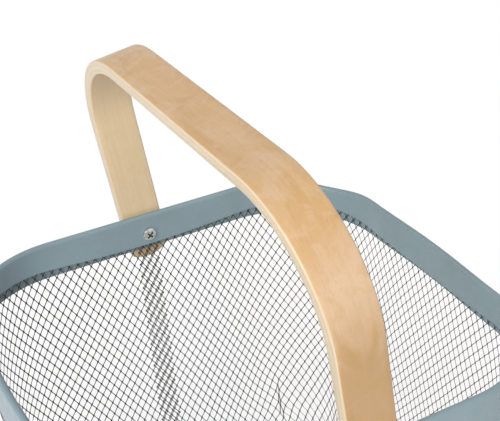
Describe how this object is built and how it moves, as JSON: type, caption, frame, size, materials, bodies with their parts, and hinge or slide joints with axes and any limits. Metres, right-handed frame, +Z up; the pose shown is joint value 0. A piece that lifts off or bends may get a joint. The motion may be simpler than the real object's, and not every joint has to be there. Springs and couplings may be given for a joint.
{
  "type": "metal mesh basket with bent wood handle",
  "caption": "Rounded rectangular expanded-metal basket with a folded sheet rim and a swinging bent plywood handle.",
  "frame": {"origin": "centre of the basket's footprint, on the surface that it stands on", "axes": "+Z up, +Y from the near wall to the far wall along the line of the two handle pivots, +X to the right"},
  "size_m": [0.26, 0.2588, 0.3173],
  "materials": {
    "painted_band": "satin blue-grey powder coat",
    "painted_mesh": "satin blue-grey powder coat",
    "birch": "clear lacquered birch plywood",
    "zinc": "bright zinc plate",
    "nylon": "natural"
  },
  "bodies": {
    "basket": {"rim_band": "painted_band", "mesh_far_left": "painted_mesh", "mesh_far_right": "painted_mesh", "mesh_right": "painted_mesh", "mesh_near": "painted_mesh", "mesh_left": "painted_mesh", "mesh_corner_far_right_1": "painted_mesh", "mesh_corner_far_right_2": "painted_mesh", "mesh_corner_near_right_1": "painted_mesh", "mesh_corner_near_right_2": "painted_mesh", "mesh_corner_near_left_1": "painted_mesh", "mesh_corner_near_left_2": "painted_mesh", "mesh_corner_far_left_1": "painted_mesh", "mesh_corner_far_left_2": "painted_mesh", "floor_mesh": "painted_mesh", "base_hem": "painted_band", "pivot_screw_far": "zinc", "pivot_screw_near": "zinc", "sleeve_nut_far": "zinc", "sleeve_nut_near": "zinc", "washer_far": "nylon", "washer_near": "nylon"},
    "handle": {"handle": "birch"}
  },
  "joints": [
    {"name": "handle_swing", "type": "hinge", "parent": "basket", "child": "handle", "pos_m": [0, 0, 0.1766], "axis": [0, 1, 0], "range_deg": [-80.5, 99.5]}
  ]
}
